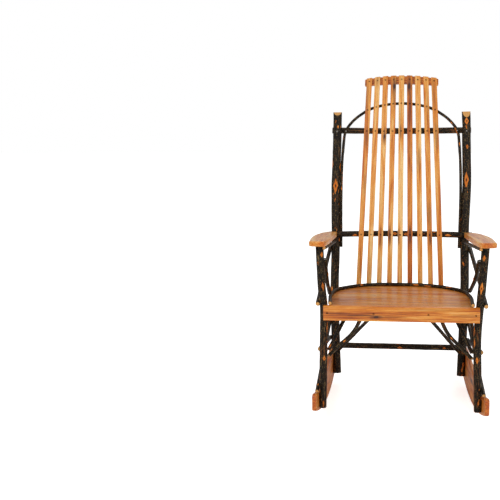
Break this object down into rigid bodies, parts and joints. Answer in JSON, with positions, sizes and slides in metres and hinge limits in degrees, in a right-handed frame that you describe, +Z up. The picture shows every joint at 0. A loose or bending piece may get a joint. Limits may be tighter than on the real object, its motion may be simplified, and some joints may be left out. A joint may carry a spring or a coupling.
{
  "type": "rocking chair",
  "caption": "Slat-back rocking chair with a bark-on sapling frame, a dished slat seat, sloping board arms and sawn rockers.",
  "frame": {"origin": "on the floor, under the middle of the chair's width and of its length", "axes": "+X to the right of someone who looks at the chair from the front, +Y to the back, +Z up"},
  "size_m": [0.6274, 0.8022, 1.1726],
  "materials": {
    "lacquered_hickory": "sawn hickory boards under clear lacquer",
    "sawn_hickory": "sawn hickory, unfinished",
    "hickory_bark": "hickory saplings with the bark on, lacquered",
    "dark_screws": "black oxide on steel",
    "steel_fixings": "plain steel nails and bolts"
  },
  "bodies": {
    "root": {"apron_screws": "dark_screws", "arm_brace_left": "hickory_bark", "arm_brace_right": "hickory_bark", "arm_left": "lacquered_hickory", "arm_prop_left": "hickory_bark", "arm_prop_right": "hickory_bark", "arm_rail_left": "hickory_bark", "arm_rail_right": "hickory_bark", "arm_right": "lacquered_hickory", "arm_screws": "dark_screws", "back_hoop": "hickory_bark", "back_slat_1": "lacquered_hickory", "back_slat_2": "lacquered_hickory", "back_slat_3": "lacquered_hickory", "back_slat_4": "lacquered_hickory", "back_slat_5": "lacquered_hickory", "back_slat_6": "lacquered_hickory", "back_slat_7": "lacquered_hickory", "back_slat_8": "lacquered_hickory", "back_slat_9": "lacquered_hickory", "crest_rail": "lacquered_hickory", "frame_nails": "steel_fixings", "front_apron": "lacquered_hickory", "front_brace_left": "hickory_bark", "front_brace_right": "hickory_bark", "front_post_left": "hickory_bark", "front_post_right": "hickory_bark", "low_brace_left": "hickory_bark", "low_brace_right": "hickory_bark", "mid_cross_stick": "hickory_bark", "middle_bearer_left": "sawn_hickory", "middle_bearer_right": "sawn_hickory", "rear_brace_left": "hickory_bark", "rear_brace_right": "hickory_bark", "rear_post_left": "hickory_bark", "rear_post_right": "hickory_bark", "rear_seat_rail": "hickory_bark", "rear_stretcher": "hickory_bark", "rocker_bolts": "steel_fixings", "rocker_left": "lacquered_hickory", "rocker_right": "lacquered_hickory", "seat_hoop": "hickory_bark", "seat_screws": "dark_screws", "seat_slat_1": "lacquered_hickory", "seat_slat_2": "lacquered_hickory", "seat_slat_3": "lacquered_hickory", "seat_slat_4": "lacquered_hickory", "seat_slat_5": "lacquered_hickory", "seat_slat_6": "lacquered_hickory", "side_bearer_left": "sawn_hickory", "side_bearer_right": "sawn_hickory", "side_brace_left": "hickory_bark", "side_brace_right": "hickory_bark", "side_prop_left": "hickory_bark", "side_prop_right": "hickory_bark", "side_stretcher_left": "hickory_bark", "side_stretcher_right": "hickory_bark", "slat_screws": "dark_screws", "upper_cross_stick": "hickory_bark"}
  },
  "joints": []
}
